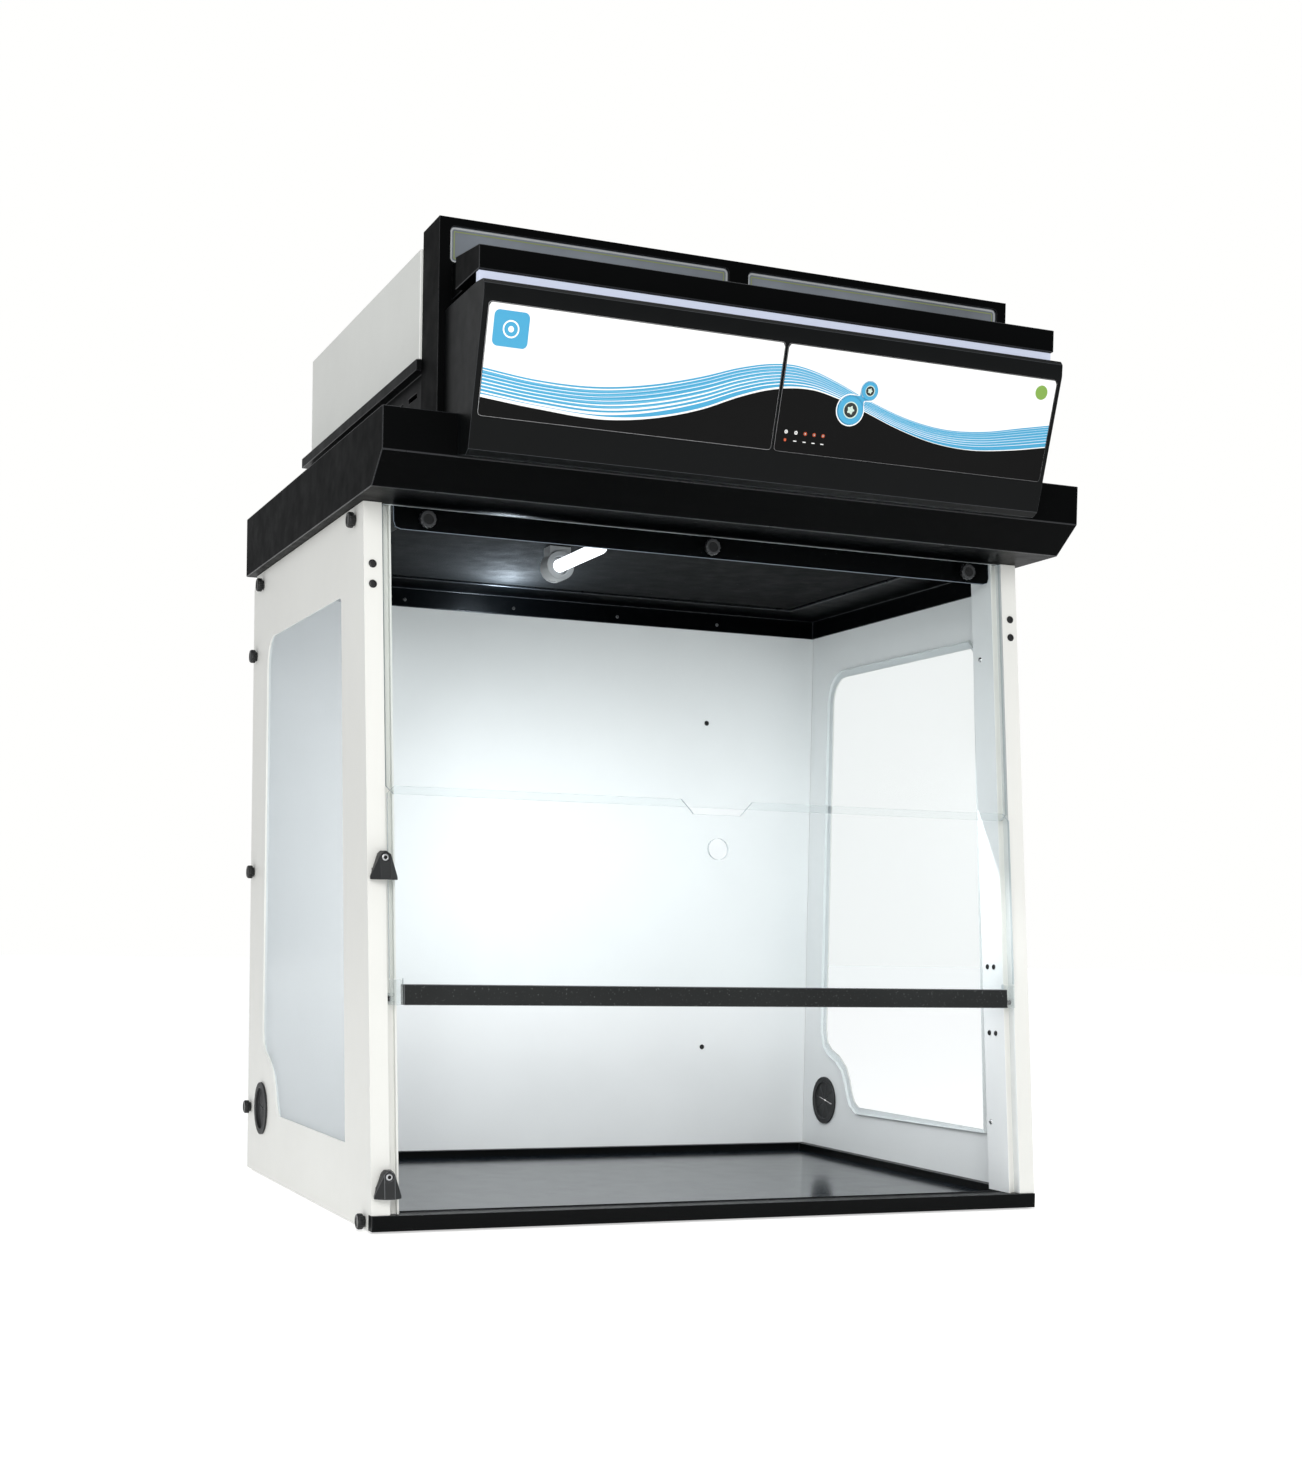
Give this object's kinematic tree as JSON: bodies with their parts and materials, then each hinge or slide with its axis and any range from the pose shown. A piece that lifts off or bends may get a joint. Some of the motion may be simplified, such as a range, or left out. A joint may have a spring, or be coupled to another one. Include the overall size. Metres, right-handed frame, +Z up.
{
  "type": "fume hood",
  "caption": "Benchtop filtering fume hood: clear-sided white work chamber, sliding front pane with black handle bar, black header and filter module with tilted control panel.",
  "frame": {"origin": "centre of the bounding box at the level of the worktop it stands on", "axes": "+Z up, front opening faces -Y, +X to the right seen from the front"},
  "size_m": [0.822, 0.736, 1.05],
  "materials": {
    "black_metal": "satin",
    "work_top": "gloss",
    "rubber_black": "matte",
    "white_metal": "satin",
    "side_clear": "gloss",
    "pane_clear": "gloss",
    "bar_black": "textured",
    "bracket_clear": "gloss",
    "pin_black": "satin",
    "knob_black": "satin",
    "screw_steel": "satin",
    "filter_mat": "matte",
    "cartridge": "matte",
    "lamp_white": "gloss",
    "lamp_glow": "gloss",
    "strip_glow": "matte",
    "fan_black": "matte",
    "motor_grey": "satin",
    "slate_pane": "gloss",
    "printed_panel": "gloss",
    "key_blue": "gloss",
    "board_green": "satin"
  },
  "bodies": {
    "hood": {"back_panel": "white_metal", "clamp_knob_left": "knob_black", "clamp_knob_middle": "knob_black", "clamp_knob_right": "knob_black", "clamp_rail": "black_metal", "control_board": "board_green", "control_head": "black_metal", "cornice": "black_metal", "fan_housing": "fan_black", "fan_motor": "motor_grey", "filter_casing": "white_metal", "frame_window_left": "slate_pane", "frame_window_right": "slate_pane", "gland_left": "rubber_black", "gland_right": "rubber_black", "header": "black_metal", "label_panel_left": "printed_panel", "label_panel_right": "printed_panel", "lamp_holder": "lamp_white", "lamp_tube": "lamp_glow", "light_strip": "strip_glow", "main_filter": "cartridge", "power_inlet": "knob_black", "prefilter": "filter_mat", "runner_left": "rubber_black", "runner_right": "rubber_black", "side_panel_left": "white_metal", "side_panel_right": "white_metal", "side_window_left": "side_clear", "side_window_right": "side_clear", "stop_block_lower": "knob_black", "stop_block_upper": "knob_black", "stop_screw_lower": "screw_steel", "stop_screw_upper": "screw_steel", "tall_frame": "black_metal", "thumb_knob_left_1": "knob_black", "thumb_knob_left_2": "knob_black", "thumb_knob_left_3": "knob_black", "thumb_knob_left_4": "knob_black", "thumb_knob_left_5": "knob_black", "thumb_knob_left_6": "knob_black", "thumb_knob_right_1": "knob_black", "thumb_knob_right_2": "knob_black", "thumb_knob_right_3": "knob_black", "thumb_knob_right_4": "knob_black", "thumb_knob_right_5": "knob_black", "thumb_knob_right_6": "knob_black", "tray": "black_metal", "upper_pane": "pane_clear", "vent_body": "black_metal", "work_surface": "work_top"},
    "sash": {"lower_pane": "pane_clear", "handle_bar": "bar_black", "bar_end_left": "bracket_clear", "bar_end_right": "bracket_clear"},
    "left_plunger": {"plunger_left": "pin_black"},
    "right_plunger": {"plunger_right": "pin_black"},
    "large_key": {"key_large": "key_blue"},
    "small_key": {"key_small": "key_blue"},
    "fan": {"fan_impeller": "fan_black"}
  },
  "joints": [
    {"name": "sash_slide", "type": "slide", "parent": "hood", "child": "sash", "axis": [0, 0.101, 0.9949], "range_m": [0, 0.1]},
    {"name": "left_plunger_slide", "type": "slide", "parent": "sash", "child": "left_plunger", "axis": [1, 0, 0], "range_m": [0, 0.0035], "stiffness_N_per_m": 400, "springref_m": -0.003},
    {"name": "right_plunger_slide", "type": "slide", "parent": "sash", "child": "right_plunger", "axis": [-1, 0, 0], "range_m": [0, 0.0035], "stiffness_N_per_m": 400, "springref_m": -0.003},
    {"name": "large_key_press", "type": "slide", "parent": "hood", "child": "large_key", "axis": [0, 0.9555, 0.2951], "range_m": [0, 0.0012], "stiffness_N_per_m": 600, "springref_m": -0.0015},
    {"name": "small_key_press", "type": "slide", "parent": "hood", "child": "small_key", "axis": [0, 0.9555, 0.2951], "range_m": [0, 0.0012], "stiffness_N_per_m": 600, "springref_m": -0.0015},
    {"name": "fan_spin", "type": "hinge", "parent": "hood", "child": "fan", "pos_m": [0, 0.064, 0.94], "axis": [0, 0, 1], "continuous": true}
  ]
}
